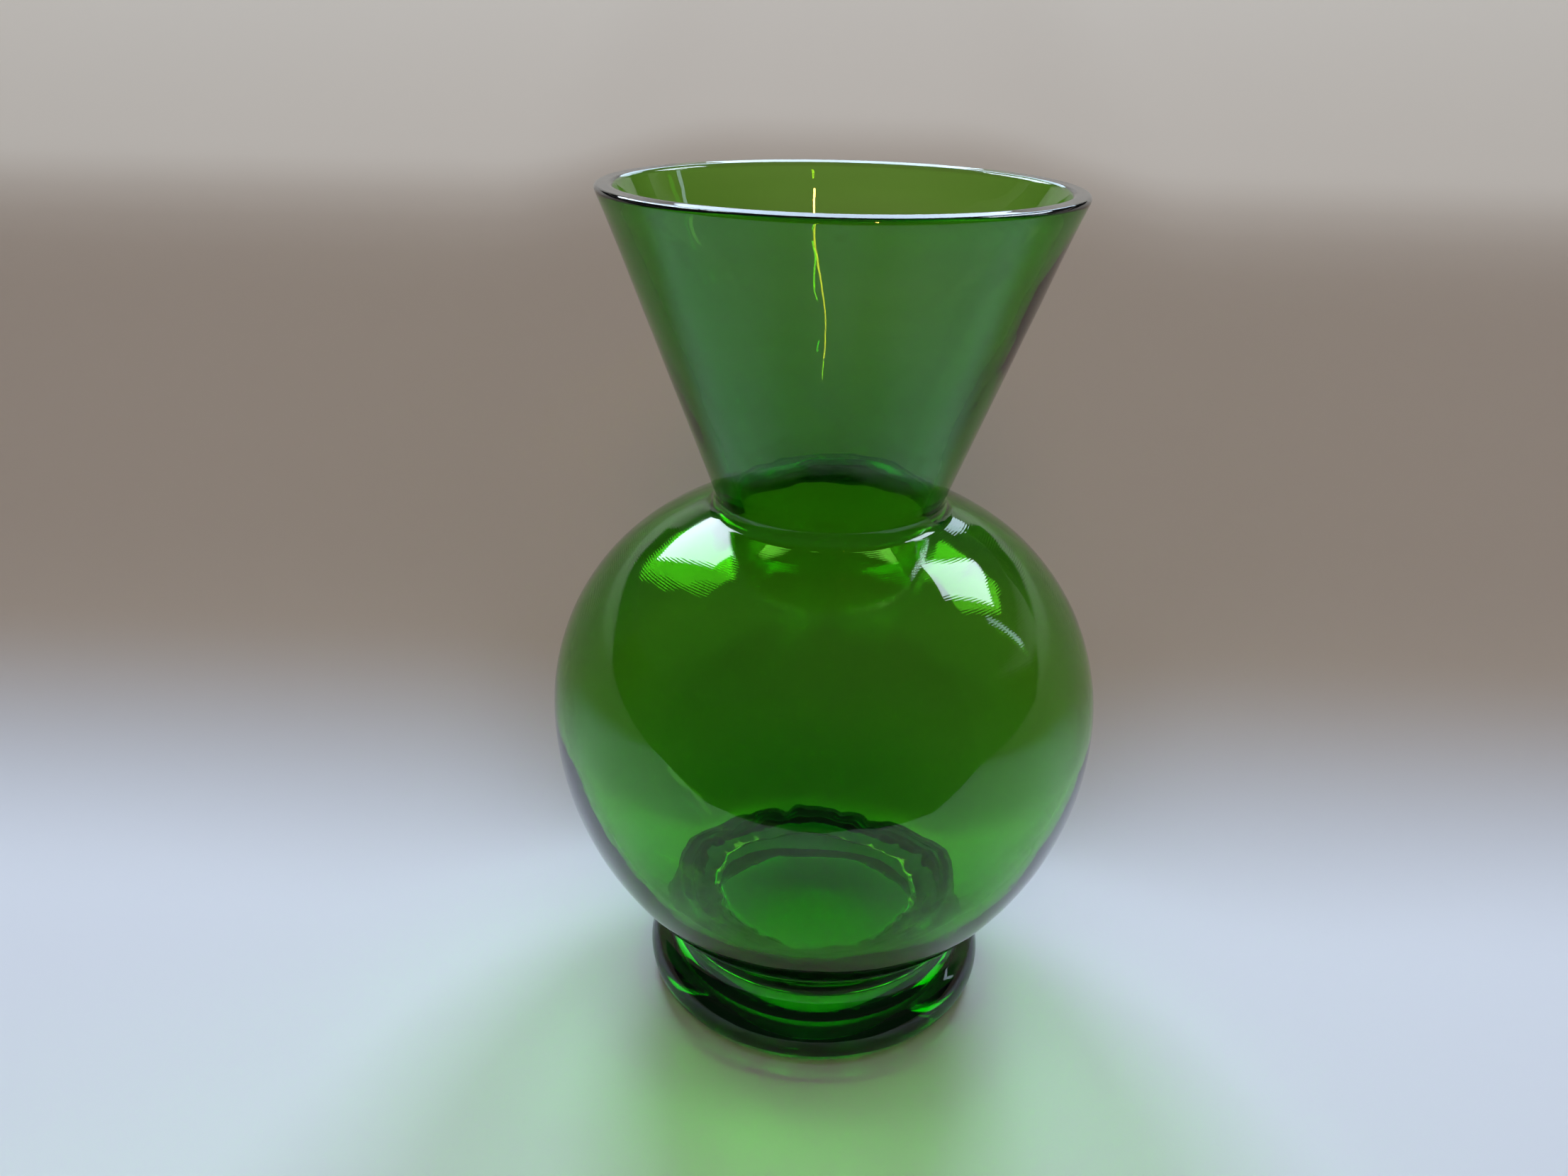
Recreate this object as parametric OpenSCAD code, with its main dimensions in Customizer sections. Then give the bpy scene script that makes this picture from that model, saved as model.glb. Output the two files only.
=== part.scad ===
// Green glass bud vase: a conical flared neck on a round body with a disc foot.
// The glass is modelled in the sections that a glassmaker names, stacked face to face
// on the Z axis. The foot stands on z = 0.

/* [Rim] */
// Outside diameter across the rim
rim_d = 81.4; // [70:0.2:95]
// Thickness of the fire-polished, fully rounded lip
rim_wall = 3.2; // [2.8:0.1:5]
// Height of the rim section, over which the wall swells to the lip
rim_h = 6; // [4:0.5:12]

/* [Neck] */
// Height from the throat to the top of the rim
neck_h = 56.1; // [40:0.1:80]
// Wall of the neck, square to its slope
neck_wall = 2.6; // [1.8:0.1:2.8]
// Outside diameter at the throat, where the neck's cone runs into the round body
throat_d = 41; // [32:0.2:50]
// Radius of the hollow corner outside the throat
throat_fillet = 2.5; // [1:0.1:5]
// Radius of the rounded edge inside the throat
throat_round = 4; // [1:0.1:6]

/* [Round body] */
// Greatest outside diameter
globe_d = 105.6; // [95:0.2:120]
// Height from the widest line up to the throat
shoulder_h = 41.1; // [34:0.1:48]
// Height from the foot's top up to the widest line
belly_h = 54.4; // [46:0.1:62]
// Wall of the round body
globe_wall = 2.6; // [1.8:0.1:4]

/* [Base] */
// Diameter at which the body's curve would meet the foot's top
stem_d = 38.4; // [30:0.2:46]
// Radius of the hollow corner between the foot's rounded edge and the body
waist_fillet = 6; // [4:0.1:9]
// Height of the floor inside above the foot's top
floor_h = 4.1; // [3:0.1:8]
// Glass between the floor inside and the hollow under the foot
floor_wall = 3.5; // [2.4:0.1:6]

/* [Foot] */
// Outside diameter of the foot
foot_d = 71; // [68:0.2:80]
// Height of the foot, which is the diameter of its rounded edge too
foot_h = 10.4; // [7:0.1:12]
// Width of the flat ring that the vase stands on
rest_w = 5.8; // [3:0.1:12]
// Radius of the rounded top edge of the hollow under the foot
kick_round = 2; // [1:0.1:6]

/* [Hidden] */
$fn = 180;

// Heights up the axis
floor_z = foot_h + floor_h;
kick_z = floor_z - floor_wall;
globe_z = foot_h + belly_h;
throat_z = globe_z + shoulder_h;
total_h = throat_z + neck_h;
rim_z = total_h - rim_h;

// Points of the outline, as [radius, height]
widest = [globe_d/2, globe_z];
throat = [throat_d/2, throat_z];
stem = [stem_d/2, foot_h];
lip_r = rim_wall/2;
lip = [rim_d/2 - lip_r, total_h - lip_r];

// Radius of the arc that stands upright at p and passes through q, nearer the axis
function bulge(p, q) = (pow(p.x - q.x, 2) + pow(p.y - q.y, 2)) / (2*(p.x - q.x));

// Point where a straight wall from p touches the circle at c, on its outer (1) or inner (-1) side
function touch(p, c, r, side) =
    let (d = c - p, turn = atan2(d.y, d.x) - side*asin(r/norm(d)))
    c + side*r*[sin(turn), -cos(turn)];

// Centre of a corner radius f, outside the wall through p along u and outside the circle at c
function corner(p, u, c, r, f) =
    let (out = [u.y, -u.x], e = p + f*out - c, along = e*u)
    p + f*out + u*(sqrt(along*along - e*e + pow(r + f, 2)) - along);

// Point at given distances from two others, on the side away from the axis
function between(a, ra, b, rb) =
    let (d = norm(b - a), way = (b - a)/d, s = (ra*ra - rb*rb + d*d)/(2*d))
    a + s*way + sqrt(ra*ra - s*s)*[way.y, -way.x];

// Arcs of the round body
shoulder_r = bulge(widest, throat);
shoulder_c = [widest.x - shoulder_r, globe_z];
belly_r = bulge(widest, stem);
belly_c = [widest.x - belly_r, globe_z];

// Slope of the neck: along runs up the wall, out points away from the glass
lip_touch = touch(throat, lip, lip_r, 1);
along = (lip_touch - throat)/norm(lip_touch - throat);
out = [along.y, -along.x];
function wall_at(z, inset) =
    let (p = throat - inset*out)
    p + along*(z - p.y)/along.y;

// Corners of the throat, outside and inside
throat_out = corner(throat, along, shoulder_c, shoulder_r, throat_fillet);
throat_in = corner(throat - neck_wall*out, along, shoulder_c, shoulder_r - globe_wall, throat_round);
neck_z = max((throat_out - throat_fillet*out).y, (throat_in - throat_round*out).y);

// Middle of the foot's rounded edge, and the hollow's radius
edge = [foot_d/2 - foot_h/2, foot_h/2];
kick_r = edge.x - rest_w;

// Corner of the waist
waist = between(edge, foot_h/2 + waist_fillet, belly_c, belly_r + waist_fillet);

glass = [0.16, 0.42, 0.10];

// Everything between two heights
module band(low, high) {
    translate([0, low]) square([globe_d + rim_d, high - low]);
}

// Disc section of an arc at c, filled through to the axis
module arc_section(c, r) {
    translate(c) circle(r);
    if (c.x > 0) translate([0, c.y - r]) square([c.x, 2*r]);
}

// Upper half of the round body run into the neck, set in from the outside
module shoulder_section(neck_in, globe_in, c, f) {
    r = shoulder_r - globe_in;
    on_neck = c - f*out;
    on_globe = shoulder_c + r*(c - shoulder_c)/norm(c - shoulder_c);
    low = wall_at(throat_z - shoulder_h/4, neck_in);
    high = wall_at(neck_z + rim_h, neck_in);
    arc_section(shoulder_c, r);
    polygon([[0, low.y], low, high, [0, high.y]]);
    difference() {
        polygon([[0, on_globe.y], on_globe, c, on_neck, [0, on_neck.y]]);
        translate(c) circle(f);
    }
}

// Lower part of the round body run into the foot, outside
module lower_section() {
    on_foot = edge + foot_h/2*(waist - edge)/norm(waist - edge);
    on_belly = belly_c + belly_r*(waist - belly_c)/norm(waist - belly_c);
    square([edge.x, foot_h]);
    translate(edge) circle(foot_h/2);
    intersection() {
        arc_section(belly_c, belly_r);
        band(foot_h, globe_z);
    }
    difference() {
        polygon([[0, on_foot.y], on_foot, waist, on_belly, [0, on_belly.y]]);
        translate(waist) circle(waist_fillet);
    }
}

// Hollow under the foot
module kick_section() {
    c = [kick_r - kick_round, kick_z - kick_round];
    translate(c) circle(kick_round);
    translate([0, -foot_h]) {
        square([kick_r, foot_h + c.y]);
        square([c.x, foot_h + kick_z]);
    }
}

module rim() {
    foot_out = wall_at(rim_z, 0);
    foot_in = wall_at(rim_z, neck_wall);
    color(glass) rotate_extrude() {
        translate(lip) circle(lip_r);
        polygon([foot_out, lip_touch, lip, touch(foot_in, lip, lip_r, -1), foot_in]);
    }
}

module neck() {
    color(glass) rotate_extrude()
        polygon([wall_at(neck_z, 0), wall_at(rim_z, 0),
                 wall_at(rim_z, neck_wall), wall_at(neck_z, neck_wall)]);
}

module shoulder() {
    color(glass) rotate_extrude() intersection() {
        band(globe_z, neck_z);
        difference() {
            shoulder_section(0, 0, throat_out, throat_fillet);
            shoulder_section(neck_wall, globe_wall, throat_in, throat_round);
        }
    }
}

module belly() {
    color(glass) rotate_extrude() intersection() {
        band(floor_z, globe_z);
        difference() {
            lower_section();
            arc_section(belly_c, belly_r - globe_wall);
        }
    }
}

module base() {
    color(glass) rotate_extrude() intersection() {
        band(foot_h, floor_z);
        difference() {
            lower_section();
            kick_section();
        }
    }
}

module foot() {
    color(glass) rotate_extrude() intersection() {
        band(0, foot_h);
        difference() {
            lower_section();
            kick_section();
        }
    }
}

rim();
neck();
shoulder();
belly();
base();
foot();
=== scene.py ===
import math

import bpy
import numpy as np
from mathutils import Matrix, Vector


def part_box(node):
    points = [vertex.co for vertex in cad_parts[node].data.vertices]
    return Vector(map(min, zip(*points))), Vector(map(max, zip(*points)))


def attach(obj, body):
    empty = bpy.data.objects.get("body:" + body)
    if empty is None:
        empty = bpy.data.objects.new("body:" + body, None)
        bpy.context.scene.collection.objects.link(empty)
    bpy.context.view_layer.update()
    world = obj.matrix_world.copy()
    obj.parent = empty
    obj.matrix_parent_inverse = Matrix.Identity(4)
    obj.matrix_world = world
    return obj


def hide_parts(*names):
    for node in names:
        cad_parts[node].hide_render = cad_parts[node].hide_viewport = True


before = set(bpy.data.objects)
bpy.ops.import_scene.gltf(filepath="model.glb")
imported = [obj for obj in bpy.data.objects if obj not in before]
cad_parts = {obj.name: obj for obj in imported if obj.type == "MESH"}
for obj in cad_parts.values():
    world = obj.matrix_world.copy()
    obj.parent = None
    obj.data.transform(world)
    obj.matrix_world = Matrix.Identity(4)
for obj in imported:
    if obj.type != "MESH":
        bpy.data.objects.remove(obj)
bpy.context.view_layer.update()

scene = bpy.context.scene
scene.view_settings.view_transform = "Standard"
scene.cycles.max_bounces = 24
scene.cycles.transmission_bounces = 24
scene.cycles.glossy_bounces = 16
scene.cycles.blur_glossy = 0.2

# All lengths are in metres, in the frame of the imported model
mm = 0.001

# Camera: the photo is 2212 by 1659 pixels, and the place and turns come from a fit to the outline
shot = {
    "imageWidth": 2212,
    "focalPixels": 1678.0,
    "sensor": 36.0,
    "clipStart": 0.005,
    "place": (0.0, -0.20736, 0.18364),
    "pitchDown": 24.842,
    "roll": 1.199,
    "yaw": -2.2415,
}


def makeCamera(s):
    # A level view along +Y, turned sideways by yaw, tipped down by pitch and then rolled
    pitch, roll, yaw = (math.radians(s[k]) for k in ("pitchDown", "roll", "yaw"))
    level = np.array([math.sin(yaw), math.cos(yaw), 0.0])
    right = np.array([math.cos(yaw), -math.sin(yaw), 0.0])
    up = level * math.sin(pitch) + np.array([0.0, 0.0, math.cos(pitch)])
    rightRolled = right * math.cos(roll) + up * math.sin(roll)
    upRolled = up * math.cos(roll) - right * math.sin(roll)
    turn = np.column_stack([rightRolled, upRolled, np.cross(rightRolled, upRolled)])
    data = bpy.data.cameras.new("camera")
    data.sensor_width = s["sensor"]
    data.lens = s["sensor"] * s["focalPixels"] / s["imageWidth"]
    data.clip_start = s["clipStart"]
    camera = bpy.data.objects.new("camera", data)
    camera.matrix_world = Matrix.Translation(s["place"]) @ Matrix(turn.tolist()).to_4x4()
    scene.collection.objects.link(camera)
    scene.camera = camera


makeCamera(shot)
print("camera placed")

# Vase: one continuous glass wall, outside and inside, turned round the Z axis
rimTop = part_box("rim")[1]
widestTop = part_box("belly")[1]
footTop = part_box("foot")[1]
vase = {
    "around": 280,           # facets round the axis
    "step": 1.75 * mm,       # spacing of points along the wall
    "lipThick": 3.2 * mm,
    "lipEdges": (0.6 * mm, 1.0 * mm),  # radii of its outer and inner edges
    "lipLean": 9.5,          # degrees
    "lipDrop": 1.2 * mm,     # times the lean's slope, lowers the lip to stay below the rim's top
    "lipBlend": (2.0 * mm, 3.0 * mm),  # how far from the lip's middle the lean holds, then fades
    "throatRadius": 20.5 * mm,
    "throatHeight": 105.9 * mm,
    "throatFillet": 2.5 * mm,
    "throatRound": 4.0 * mm,
    "neckWall": 2.6 * mm,
    "globeWall": 2.6 * mm,
    "stemRadius": 19.2 * mm,
    "waistFillet": 6.0 * mm,
    "floorHeight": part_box("belly")[0].z,
    "floorFillet": 3.0 * mm,
    "floorFine": 17.0 * mm,  # radius beyond which the floor's points lie closer together
    "floorWall": 3.5 * mm,
    "kickRadius": 24.5 * mm,  # hollow under the foot
    "kickRound": 2.0 * mm,
    # Jagged edge of the floor inside: how far from it the glass moves along, then waves round, depth, phase
    "jagReach": 2.2 * mm,
    "floorJags": [(1, 0.20, 3.1), (5, 0.30, 0.7), (9, 0.55, 2.9), (14, 0.55, 5.1), (22, 0.55, 1.6),
                  (35, 0.30, 4.0), (51, 0.12, 0.3)],
    # Height up the vase, and glass there beyond the plain wall
    "swell": [(14.5, 0.6), (17, 1.4), (24, 1.4), (36, 0.5), (64.8, -0.4), (95, 0.1), (106, 1.0), (120, 0.9),
              (138, 0.2), (150, 0.0)],
    # Slow waves of the inside and outside wall: waves round, turns per metre of height, depth, phase
    "insideWaves": [(1, 0, 0.22, 3.0), (2, 6, 0.10, 0.4), (3, -9, 0.08, 2.2), (5, 14, 0.05, 4.4),
                    (8, -20, 0.03, 1.1), (13, 25, 0.016, 5.2)],
    "outsideWaves": [(2, 4, 0.05, 1.3), (3, -7, 0.04, 0.2), (5, 11, 0.018, 3.9), (11, 45, 0.010, 0.8),
                     (17, -60, 0.008, 2.6), (26, 85, 0.006, 4.7)],
    "outsideIn": 0.10 * mm,  # keeps the outside waves within the solid
    # Where the waves fade: along the wall from the lip, with a plain share inside, and above floor and foot
    "lipFade": 12.0 * mm,
    "lipPlain": 0.4,
    "floorFade": 4.0 * mm,
    "footFade": (16.0 * mm, 20.0 * mm),
}


def ease(t):
    # Smooth step from 0 to 1
    t = np.clip(t, 0, 1)
    return t * t * (3 - 2 * t)


def point(r, z):
    return np.array([r, z])


def arc(centre, start, end, step):
    # Points on the circle round centre from start to end, the short way round: in 4 stretches or more, and
    # none over 8 degrees or longer than the step
    a, b = (math.atan2(*(p - centre)[::-1]) for p in (start, end))
    sweep = (b - a + math.pi) % (2 * math.pi) - math.pi
    radius = np.linalg.norm(start - centre)
    count = max(4, math.ceil(abs(sweep) * radius / step), math.ceil(abs(math.degrees(sweep)) / 8))
    angle = a + sweep * np.linspace(0, 1, count + 1)
    return centre + radius * np.column_stack([np.cos(angle), np.sin(angle)])


def straight(start, end, step):
    count = max(2, math.ceil(np.linalg.norm(end - start) / step))
    return start + (end - start) * np.linspace(0, 1, count + 1)[:, None]


def towards(a, b, reach):
    # Point on the way from a to b
    return a + reach * (b - a) / np.linalg.norm(b - a)


def bulgeCentre(widest, through):
    # Centre of the arc that stands upright at the widest point and passes through another
    radius = np.sum((widest - through) ** 2) / (2 * (widest[0] - through[0]))
    return point(widest[0] - radius, widest[1])


def touchPoint(p, centre, radius):
    # Where a straight wall from p touches a circle, on its outer side
    d = centre - p
    turn = math.atan2(d[1], d[0]) - math.asin(radius / np.linalg.norm(d))
    return centre + radius * point(math.sin(turn), -math.cos(turn))


def cornerCentre(p, along, centre, radius, fillet):
    # Centre of a corner that touches both the wall through p and the circle
    out = point(along[1], -along[0])
    e = p + fillet * out - centre
    run = e @ along
    return p + fillet * out + along * (math.sqrt(run * run - e @ e + (radius + fillet) ** 2) - run)


def betweenCircles(a, reachA, b, reachB):
    # Point at given distances from two others, on the side away from the axis
    d = np.linalg.norm(b - a)
    way = (b - a) / d
    along = (reachA ** 2 - reachB ** 2 + d * d) / (2 * d)
    return a + along * way + math.sqrt(reachA ** 2 - along ** 2) * point(way[1], -way[0])


def wallProfile(v):
    # The outline from the middle of the underside, up the outside, over the lip and down the inside
    step = v["step"]
    cornerStep, edgeStep = step / 2, step / 8
    widest = point(widestTop.x, widestTop.z)
    throat = point(v["throatRadius"], v["throatHeight"])
    stem = point(v["stemRadius"], footTop.z)
    lipRadius = v["lipThick"] / 2
    lip = point(rimTop.x - lipRadius, rimTop.z - lipRadius)
    shoulderC = bulgeCentre(widest, throat)
    bellyC = bulgeCentre(widest, stem)
    shoulderR = widest[0] - shoulderC[0]
    bellyR = widest[0] - bellyC[0]

    # Neck and throat
    lipOut = touchPoint(throat, lip, lipRadius)
    along = (lipOut - throat) / np.linalg.norm(lipOut - throat)
    out = point(along[1], -along[0])
    throatIn = throat - v["neckWall"] * out
    cornerOut = cornerCentre(throat, along, shoulderC, shoulderR, v["throatFillet"])
    cornerIn = cornerCentre(throatIn, along, shoulderC, shoulderR - v["globeWall"], v["throatRound"])
    # The lip is level on top here, and its two edges are rounded
    roundOut, roundIn = v["lipEdges"]
    edgeOut = point(rimTop.x - roundOut, rimTop.z - roundOut)
    edgeIn = point(rimTop.x - v["lipThick"] + roundIn, rimTop.z - roundIn)
    up = point(0, 1)
    # Underside, foot and waist
    edge = footTop.z / 2
    flat = footTop.x - edge
    kick, kickTop = v["kickRadius"], v["floorHeight"] - v["floorWall"]
    kickC = point(kick, kickTop) - v["kickRound"]
    edgeC = point(flat, edge)
    waist = betweenCircles(edgeC, edge + v["waistFillet"], bellyC, bellyR + v["waistFillet"])
    # Floor inside
    innerR = bellyR - v["globeWall"]
    rise = widest[1] - v["floorHeight"] - v["floorFillet"]
    floorC = point(bellyC[0] + math.sqrt((innerR - v["floorFillet"]) ** 2 - rise ** 2),
                   v["floorHeight"] + v["floorFillet"])
    floorFine = point(v["floorFine"], v["floorHeight"])

    outside = [
        straight(point(0, kickTop), point(kickC[0], kickTop), step),
        arc(kickC, point(kickC[0], kickTop), point(kick, kickC[1]), edgeStep),
        straight(point(kick, kickC[1]), point(kick, 0), step),
        straight(point(kick, 0), point(flat, 0), step),
        arc(edgeC, point(flat, 0), point(flat + edge, edge), cornerStep),
        arc(edgeC, point(flat + edge, edge), towards(edgeC, waist, edge), cornerStep),
        arc(waist, towards(edgeC, waist, edge), towards(waist, bellyC, v["waistFillet"]), cornerStep),
        arc(bellyC, towards(bellyC, waist, bellyR), widest, step),
        arc(shoulderC, widest, towards(shoulderC, cornerOut, shoulderR), step),
        arc(cornerOut, towards(cornerOut, shoulderC, v["throatFillet"]),
            cornerOut - v["throatFillet"] * out, cornerStep),
        straight(cornerOut - v["throatFillet"] * out, edgeOut + roundOut * out, step),
    ]
    inside = [
        arc(edgeOut, edgeOut + roundOut * out, edgeOut + roundOut * up, edgeStep),
        straight(edgeOut + roundOut * up, edgeIn + roundIn * up, edgeStep),
        arc(edgeIn, edgeIn + roundIn * up, edgeIn - roundIn * out, edgeStep),
        straight(edgeIn - roundIn * out, cornerIn - v["throatRound"] * out, step),
        arc(cornerIn, cornerIn - v["throatRound"] * out,
            towards(cornerIn, shoulderC, v["throatRound"]), cornerStep),
        arc(shoulderC, towards(shoulderC, cornerIn, shoulderR - v["globeWall"]),
            widest - point(v["globeWall"], 0), step),
        arc(bellyC, widest - point(v["globeWall"], 0), towards(bellyC, floorC, innerR), step),
        arc(floorC, towards(bellyC, floorC, innerR), floorC - point(0, v["floorFillet"]), edgeStep),
        straight(floorC - point(0, v["floorFillet"]), floorFine, edgeStep),
        straight(floorFine, point(0, v["floorHeight"]), step),
    ]
    # Each stretch begins where the one before it ends, so its first point is left out
    joined = [p[1:] for p in outside + inside]
    line = np.concatenate([outside[0][:1]] + joined)
    outCount = 1 + sum(len(p) for p in joined[:len(outside)])
    return line, outCount


def addPiece(name, verts, faces, smooth=True):
    mesh = bpy.data.meshes.new(name)
    mesh.from_pydata(verts.tolist(), [], faces)
    if smooth:
        mesh.shade_smooth()
    mesh.update()
    piece = bpy.data.objects.new(name, mesh)
    scene.collection.objects.link(piece)
    return piece


def revolve(name, places):
    # Mesh of a wall given as an array [point along, facet around, xyz], with both ends on the axis
    rows, around = places.shape[:2]
    ring = places[1:-1].reshape(-1, 3)
    verts = np.concatenate([ring, places[0, :1], places[-1, :1]])
    j = np.arange(around)
    k = (j + 1) % around
    i = (np.arange(rows - 3) * around)[:, None]
    quads = np.stack([i + j, i + k, i + around + k, i + around + j], -1).reshape(-1, 4)
    last = (rows - 3) * around
    low, high = len(verts) - 2, len(verts) - 1
    caps = np.concatenate([np.column_stack([np.full(around, low), k, j]),
                           np.column_stack([last + j, last + k, np.full(around, high)])])
    return addPiece(name, verts, quads.tolist() + caps.tolist())


def waves(terms, turn, height):
    # Sum of cosines that run round the axis and climb it
    return sum(mm * depth * np.cos(count * turn + 2 * math.pi * climb * height + phase)
               for count, climb, depth, phase in terms)


def makeVase(v):
    # The outline turned round the axis, moved in or out along its normal by swell and waves
    line, outCount = wallProfile(v)
    turn = np.linspace(0, 2 * math.pi, v["around"], endpoint=False)
    r, z = line[:, :1], line[:, 1:]
    slope = np.gradient(line, axis=0)
    normal = np.column_stack([slope[:, 1], -slope[:, 0]]) / np.linalg.norm(slope, axis=1)[:, None]
    run = np.concatenate([[0], np.cumsum(np.linalg.norm(np.diff(line, axis=0), axis=1))])
    pastLip = ((run - run[outCount - 1]) / v["lipFade"])[:, None]
    inside = ease(pastLip - v["lipPlain"]) * ease((z - v["floorHeight"]) / v["floorFade"])
    footStart, footRun = v["footFade"]
    outside = ease(-pastLip) * ease((z - footStart) / footRun)
    heights, extra = np.array(v["swell"]).T * mm
    move = inside * (np.interp(z, heights, extra) + waves(v["insideWaves"], turn, z))
    move = move + outside * (waves(v["outsideWaves"], turn, z) - v["outsideIn"])
    # Jags shift the floor's edge in and out, most a third of the way up its rounded corner
    jags = waves([(count, 0, depth, phase) for count, depth, phase in v["floorJags"]], turn, 0)
    inner = line[outCount:]
    corner = inner[np.argmin(np.abs(inner[:, 1] - v["floorHeight"] - v["floorFillet"] / 3))]
    onEdge = (pastLip > 1) * np.exp(-np.sum((line - corner) ** 2, axis=1)[:, None] / v["jagReach"] ** 2)
    rr = r + normal[:, :1] * move + onEdge * jags
    zz = z + normal[:, 1:] * move
    # The lip's top leans to the front, outwards there and inwards at the back
    middle = rimTop.x - v["lipThick"] / 2
    hold, fade = v["lipBlend"]
    onLip = 1 - ease((np.hypot(r - middle, z - rimTop.z) - hold) / fade)
    zz = zz + onLip * math.tan(math.radians(v["lipLean"])) * ((r - middle) * np.sin(turn) - v["lipDrop"])
    return revolve("vase_glass", np.stack([rr * np.cos(turn), rr * np.sin(turn), zz], -1))


vaseGlass = makeVase(vase)
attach(vaseGlass, "root")
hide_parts("rim", "neck", "shoulder", "belly", "base", "foot")
print("vase made,", len(vaseGlass.data.polygons), "faces")

# Green glass
greenGlass = {
    "ior": 1.5,
    "absorb": (0.525, 0.875, 0.0625),
    "density": 800.0,
    "cords": (0.93, 0.97, 0.90, 1),  # tint of the faint level streaks in the glass
    "cordScale": (30, 30, 240),
    "smudge": 0.06,          # roughness where it has been handled
    "smudgeScale": 60.0,
    "smudgeRange": (0.52, 0.75),
    # Fine turned rings on the shoulder: its curve, their spacing, wobble and depth, and the heights between
    # which they grow
    "ringCentre": (10.5 * mm, 64.8 * mm),
    "ringRadius": 42.3 * mm,
    "ringPitch": 0.5 * mm,
    "ringWobble": 16.0,      # radians
    "ringDepth": 0.0014 * mm,
    "ringFrom": 76 * mm,
    "ringTo": 90 * mm,
    "grainSize": 3.0 * mm,   # small unevenness all over
    "grainDepth": 0.010 * mm,
}


def give(tree, socket, value):
    # A plain value, or a socket to link from
    if isinstance(value, bpy.types.NodeSocket):
        tree.links.new(value, socket)
    else:
        socket.default_value = value


def addNode(tree, kind, **inputs):
    node = tree.nodes.new(kind)
    for name, value in inputs.items():
        give(tree, node.inputs[name.replace("_", " ")], value)
    return node


def maths(tree, operation, *values):
    node = tree.nodes.new("ShaderNodeMath")
    node.operation = operation
    for socket, value in zip(node.inputs, values):
        give(tree, socket, value)
    return node.outputs[0]


def mixColour(tree, factor, low, high):
    # From the low colour to the high one as the factor goes from 0 to 1
    node = tree.nodes.new("ShaderNodeMix")
    node.data_type = "RGBA"
    for name, value in (("Factor", factor), ("A", low), ("B", high)):
        give(tree, node.inputs[name], value)
    return node.outputs["Result"]


def mixWithClear(tree, factor, shader, clearAt):
    # The surface is the shader or clear air, and clear air where the factor is clearAt
    side = tree.nodes.new("ShaderNodeMixShader")
    clear = tree.nodes.new("ShaderNodeBsdfTransparent")
    give(tree, side.inputs[0], factor)
    give(tree, side.inputs[1 + clearAt], clear.outputs[0])
    give(tree, side.inputs[2 - clearAt], shader.outputs[0])
    give(tree, tree.nodes["Material Output"].inputs["Surface"], side.outputs[0])


def newMaterial(name):
    material = bpy.data.materials.new(name)
    material.use_nodes = True
    return material, material.node_tree, material.node_tree.nodes["Principled BSDF"]


def makeGlass(g):
    material, tree, shader = newMaterial("green_glass")
    shader.inputs["Transmission Weight"].default_value = 1.0
    shader.inputs["IOR"].default_value = g["ior"]
    place = tree.nodes.new("ShaderNodeTexCoord").outputs["Object"]
    x, y, z = addNode(tree, "ShaderNodeSeparateXYZ", Vector=place).outputs

    # Faint streaks of tint, drawn out level
    drawn = addNode(tree, "ShaderNodeMapping", Vector=place, Scale=g["cordScale"])
    cord = addNode(tree, "ShaderNodeTexNoise", Vector=drawn.outputs[0], Scale=1.0, Detail=1.0)
    give(tree, shader.inputs["Base Color"], mixColour(tree, cord.outputs[0], (1, 1, 1, 1), g["cords"]))

    # Smudges in patches
    patch = addNode(tree, "ShaderNodeTexNoise", Vector=place, Scale=g["smudgeScale"], Detail=1.0)
    low, high = g["smudgeRange"]
    handled = addNode(tree, "ShaderNodeMapRange", Value=patch.outputs[0], From_Min=low, From_Max=high,
                      To_Min=0.0, To_Max=g["smudge"])
    give(tree, shader.inputs["Roughness"], handled.outputs[0])

    # Rings follow the length along the shoulder's curve, which is its angle times its radius
    fromAxis = maths(tree, "SQRT", maths(tree, "ADD", maths(tree, "MULTIPLY", x, x),
                                         maths(tree, "MULTIPLY", y, y)))
    angle = maths(tree, "ARCTAN2", maths(tree, "SUBTRACT", z, g["ringCentre"][1]),
                  maths(tree, "SUBTRACT", fromAxis, g["ringCentre"][0]))
    phase = maths(tree, "MULTIPLY_ADD", patch.outputs[0], g["ringWobble"],
                  maths(tree, "MULTIPLY", angle, 2 * math.pi * g["ringRadius"] / g["ringPitch"]))
    shown = addNode(tree, "ShaderNodeMapRange", Value=z, From_Min=g["ringFrom"], From_Max=g["ringTo"],
                    To_Min=0.0, To_Max=g["ringDepth"])
    rings = maths(tree, "MULTIPLY", maths(tree, "SINE", phase), shown.outputs[0])
    grain = addNode(tree, "ShaderNodeTexNoise", Vector=place, Scale=1 / g["grainSize"], Detail=0.0)
    height = maths(tree, "MULTIPLY_ADD", grain.outputs[0], g["grainDepth"], rings)
    bump = addNode(tree, "ShaderNodeBump", Height=height, Distance=1.0)
    give(tree, shader.inputs["Normal"], bump.outputs[0])
    volume = addNode(tree, "ShaderNodeVolumeAbsorption", Color=(*g["absorb"], 1), Density=g["density"])
    give(tree, tree.nodes["Material Output"].inputs["Volume"], volume.outputs["Volume"])
    return material


vaseGlass.data.materials.append(makeGlass(greenGlass))
print("glass shaded")

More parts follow.
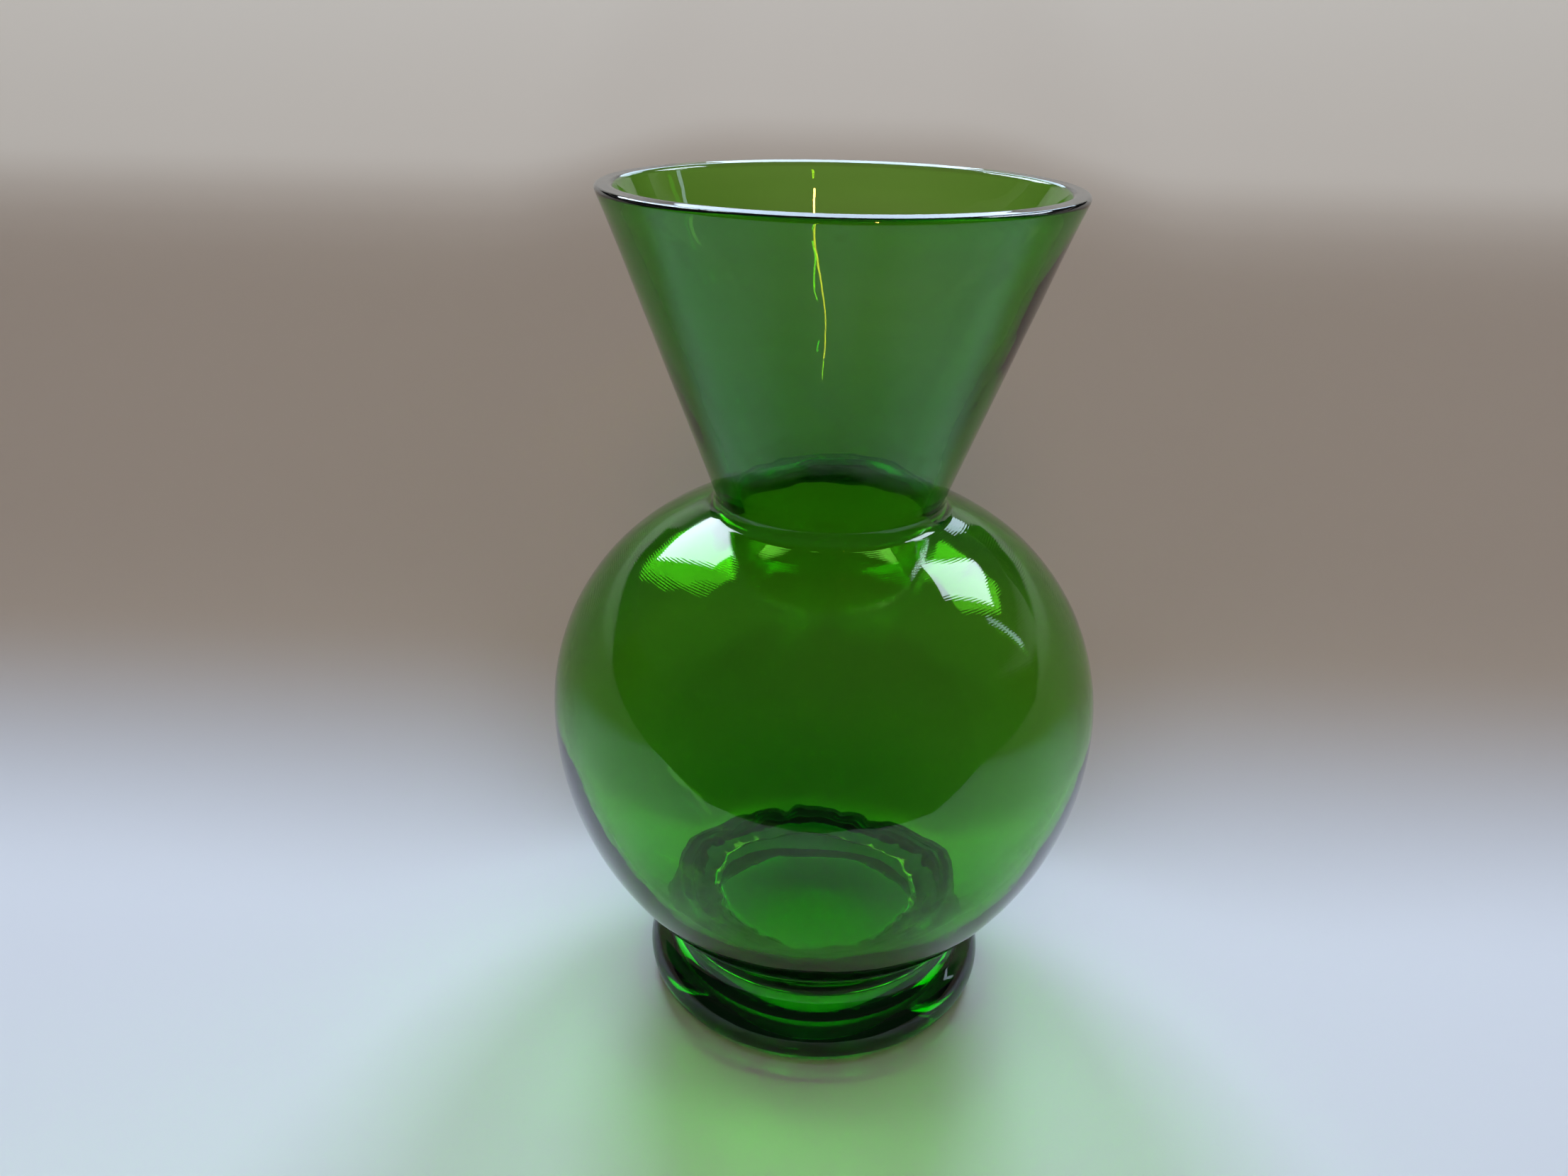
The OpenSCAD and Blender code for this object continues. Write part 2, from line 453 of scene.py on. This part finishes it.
# Stage: a pale floor that sweeps up behind and, farther off, at the sides and all round
stage = {
    "reach": 3.0,
    "count": 300,
    "gap": 0.1 * mm,         # air under the foot
    # Where the floor begins to rise and over what length it bends, behind the vase and to either side
    "behind": (0.034, 0.012),
    "beside": (0.0, 0.11),
    "besideFrom": 0.035,
    "besideRun": 0.08,
    "rampSlope": 1.05,
    "topStart": 0.161,       # where the rise begins to ease off
    "topEase": 0.05,
    "topSlope": 0.30,
    "farStart": 0.6,         # where it levels out
    "farEase": 0.4,
    "sideStart": 0.28,       # how far to the sides the rise bends round to the front
    "sideEase": 0.1,
    "sideBend": 0.8,
    "coveStart": 1.6,
    "coveRun": 1.4,
    "coveHeight": 1.0,
    "roughness": 0.9,
    "gloss": 0.1,
    "floorColour": (0.80, 0.80, 0.82, 1),
    # Painted shade and painted warm lamp light: the rise is coloured darker and warmer than the floor, in
    # place of the shade and warm light that fall on it
    "slopeShadeColour": (0.65, 0.54, 0.43, 1),
    "slopeFrom": 0.002,      # heights between which one colour gives way to the other
    "slopeTo": 0.035,
}


def softRamp(t):
    # The smooth step's own sum: level before 0, then easing into a straight rise
    c = np.clip(t, 0, 1)
    return np.where(t > 1, t - 0.5, c ** 3 - c ** 4 / 2)


def bendUp(distance, length):
    # A rise of slope 1 that begins at distance 0 and bends over the length
    return length * softRamp(distance / length)


def makePaper(s):
    material, tree, shader = newMaterial("stage_paper")
    shader.inputs["Roughness"].default_value = s["roughness"]
    shader.inputs["Specular IOR Level"].default_value = s["gloss"]
    place = tree.nodes.new("ShaderNodeTexCoord").outputs["Object"]
    split = addNode(tree, "ShaderNodeSeparateXYZ", Vector=place)
    # Painted shade: above these heights the paper takes the darker, warmer slope colour, which stands in for
    # shade and warm lamp light on the rise
    band = addNode(tree, "ShaderNodeMapRange", Value=split.outputs["Z"], From_Min=s["slopeFrom"],
                   From_Max=s["slopeTo"])
    band.interpolation_type = "SMOOTHSTEP"
    give(tree, shader.inputs["Base Color"],
         mixColour(tree, band.outputs["Result"], s["floorColour"], s["slopeShadeColour"]))
    # Seen from below or behind, the paper lets the camera through
    backfacing = tree.nodes.new("ShaderNodeNewGeometry").outputs["Backfacing"]
    fromCamera = tree.nodes.new("ShaderNodeLightPath").outputs["Is Camera Ray"]
    mixWithClear(tree, maths(tree, "MULTIPLY", backfacing, fromCamera), shader, clearAt=1)
    return material


def makeStage(s):
    # Height is a ramp behind plus a cove far out; points crowd towards the middle
    t = np.linspace(-1, 1, s["count"])
    line = s["reach"] * t * np.abs(t)
    x, y = np.meshgrid(line, line, indexing="ij")
    back = y + s["sideBend"] * bendUp(np.abs(x) - s["sideStart"], s["sideEase"])
    beside = ease((np.abs(x) - s["besideFrom"]) / s["besideRun"])
    start, bend = ((1 - beside) * p + beside * q for p, q in zip(s["behind"], s["beside"]))
    rise = bendUp(back - start, bend)
    crest = bendUp(back - s["topStart"], s["topEase"])
    level = bendUp(back - s["farStart"], s["farEase"])
    z = s["rampSlope"] * rise - (s["rampSlope"] - s["topSlope"]) * crest - s["topSlope"] * level
    z = z + s["coveHeight"] * ease((np.hypot(x, y) - s["coveStart"]) / s["coveRun"]) - s["gap"]
    verts = np.stack([x, y, z], -1).reshape(-1, 3)
    n = s["count"]
    i, j = np.meshgrid(np.arange(n - 1), np.arange(n - 1), indexing="ij")
    a = (i * n + j).ravel()
    sweep = addPiece("stage", verts, np.column_stack([a, a + n, a + n + 1, a + 1]).tolist())
    sweep.data.materials.append(makePaper(s))


makeStage(stage)
print("stage laid")

# Lights: each lamp is a rectangle that faces the aim, given by turn from +Y, height angle and distance
lights = {
    "aim": (0, 0, 0.08),
    "room": (0.055, 0.055, 0.058, 1),
    "wall": (0.42, 0.41, 0.40, 1),  # what the camera sees beyond the stage
    # What each kind of lamp does: light the floor, show in reflections, show through the glass
    "kinds": {
        "mirror": (False, True, True),
        "outside": (False, True, False),
        "floor": (True, False, True),
        "fill": (True, False, False),
    },
    "lamps": {
        # Panes behind and above, from left to right, which the glass mirrors
        "windowLeft": {"turn": -35.0, "lift": 39.5, "away": 2.5, "wide": 0.89, "tall": 1.10,
                       "radiance": 9.5, "colour": (0.86, 1.0, 1.12), "kind": "mirror"},
        "windowMid": {"turn": 5.0, "lift": 24.5, "away": 2.5, "wide": 1.72, "tall": 0.75,
                      "radiance": 3.2, "colour": (0.79, 1.0, 1.22), "kind": "outside"},
        "windowRight": {"turn": 53.0, "lift": 44.0, "away": 2.5, "wide": 0.84, "tall": 0.88,
                        "radiance": 9.5, "colour": (0.86, 1.0, 1.12), "kind": "mirror"},
        "windowLow": {"turn": 74.0, "lift": 26.0, "away": 2.5, "wide": 0.10, "tall": 0.88,
                      "radiance": 3.0, "colour": (0.79, 1.0, 1.22), "kind": "mirror"},
        # Broad daylight from behind, which lights the floor and shines through the glass onto it. The gap
        # between its panes is where the floor inside would mirror them
        "daylightLeft": {"turn": -22.0, "lift": 47.0, "away": 2.5, "wide": 0.80, "tall": 0.9,
                         "radiance": 11.5, "colour": (0.82, 1.0, 1.22), "kind": "floor"},
        "daylightRight": {"turn": 24.0, "lift": 47.0, "away": 2.5, "wide": 0.80, "tall": 0.9,
                          "radiance": 11.5, "colour": (0.82, 1.0, 1.22), "kind": "floor"},
        # Soft fill from above, which nothing mirrors
        "fill": {"turn": 180.0, "lift": 78.0, "away": 1.5, "wide": 1.0, "tall": 1.0,
                 "radiance": 1.2, "colour": (0.95, 1.0, 1.18), "kind": "fill"},
        # A warm room lamp in front, above the camera
        "warm": {"turn": 180.0, "lift": 42.0, "away": 0.9, "wide": 0.30, "tall": 0.30,
                 "radiance": 2.2, "colour": (1.0, 0.60, 0.28), "kind": "fill"},
        # The slim bright part of it, which the neck mirrors
        "strip": {"turn": 163.0, "lift": 34.7, "away": 0.937, "wide": 0.016, "tall": 0.14,
                  "radiance": 140.0, "colour": (1.0, 0.42, 0.10), "kind": "mirror"},
    },
}


def makeLamp(name, lamp, aim, kinds):
    # A rectangle of even radiance gives off pi times that from each square metre
    turn, lift = math.radians(lamp["turn"]), math.radians(lamp["lift"])
    data = bpy.data.lights.new(name, "AREA")
    data.shape = "RECTANGLE"
    data.size, data.size_y = lamp["wide"], lamp["tall"]
    data.energy = lamp["radiance"] * math.pi * data.size * data.size_y
    data.color = lamp["colour"]
    piece = bpy.data.objects.new(name, data)
    way = Vector((math.sin(turn) * math.cos(lift), math.cos(turn) * math.cos(lift), math.sin(lift)))
    piece.location = aim + lamp["away"] * way
    piece.rotation_euler = way.to_track_quat("Z", "Y").to_euler()
    piece.visible_camera = False
    piece.visible_diffuse, piece.visible_glossy, piece.visible_transmission = kinds[lamp["kind"]]
    scene.collection.objects.link(piece)


def makeLights(w):
    for name, lamp in w["lamps"].items():
        makeLamp(name, lamp, Vector(w["aim"]), w["kinds"])
    world = bpy.data.worlds.new("room")
    world.use_nodes = True
    tree = world.node_tree
    fromCamera = tree.nodes.new("ShaderNodeLightPath").outputs["Is Camera Ray"]
    give(tree, tree.nodes["Background"].inputs["Color"], mixColour(tree, fromCamera, w["room"], w["wall"]))
    scene.world = world


makeLights(lights)

# Dark curtain round the stage, which only reflections see, as is usual for pictures of glass: it gives
# painted dark reflections of the unlit room in front
curtain = {
    "eye": 0.075,
    "count": 120,
    # Colour of the painted dark reflections
    "colour": (0.05, 0.05, 0.05, 1),
    # Turn from +Y, distance, height angles of the lower and upper edges as seen from the eye height
    "edge": [(25, 1.4, 15, 23), (45, 1.4, 12.5, 23), (62, 1.0, 9.5, 14), (80, 0.5, 6, 14), (101, 0.5, 1, 23),
             (121, 0.4, -3, 23), (141, 0.27, -15.5, 26), (160, 0.225, -18.4, 37), (180, 0.21, -19.6, 38),
             (200, 0.225, -18.4, 37), (219, 0.27, -15.5, 26), (239, 0.4, -6, 23), (259, 0.5, 1.3, 23),
             (279, 0.5, 8, 23), (298, 1.0, 12.5, 23), (315, 1.4, 15, 23), (330, 1.4, 17, 23)],
}


def makeDarkCloth(c):
    material, tree, shader = newMaterial("dark_curtain")
    shader.inputs["Base Color"].default_value = c["colour"]
    shader.inputs["Specular IOR Level"].default_value = 0.0
    # Only light that has been mirrored at least once meets the cloth, so it shows only as a painted dark
    # reflection
    mirrored = tree.nodes.new("ShaderNodeLightPath").outputs["Glossy Depth"]
    mixWithClear(tree, mirrored, shader, clearAt=0)
    return material


def makeCurtain(c):
    # A band round the axis: at each turn, two edges at their distance and height angles
    turn, *rest = np.array(c["edge"]).T
    fine = np.linspace(turn[0], turn[-1], c["count"])
    away, low, high = (np.interp(fine, turn, v) for v in rest)
    x, y = away * np.sin(np.radians(fine)), away * np.cos(np.radians(fine))
    z0, z1 = (c["eye"] + away * np.tan(np.radians(v)) for v in (low, high))
    verts = np.concatenate([np.column_stack([x, y, z0]), np.column_stack([x, y, z1])])
    n = c["count"]
    i = np.arange(n - 1)
    faces = np.column_stack([i, i + 1, i + n + 1, i + n]).tolist()
    sheet = addPiece("dark_curtain", verts, faces, smooth=False)
    sheet.data.materials.append(makeDarkCloth(c))
    sheet.visible_camera = sheet.visible_diffuse = sheet.visible_shadow = False


makeCurtain(curtain)
print("lights hung")
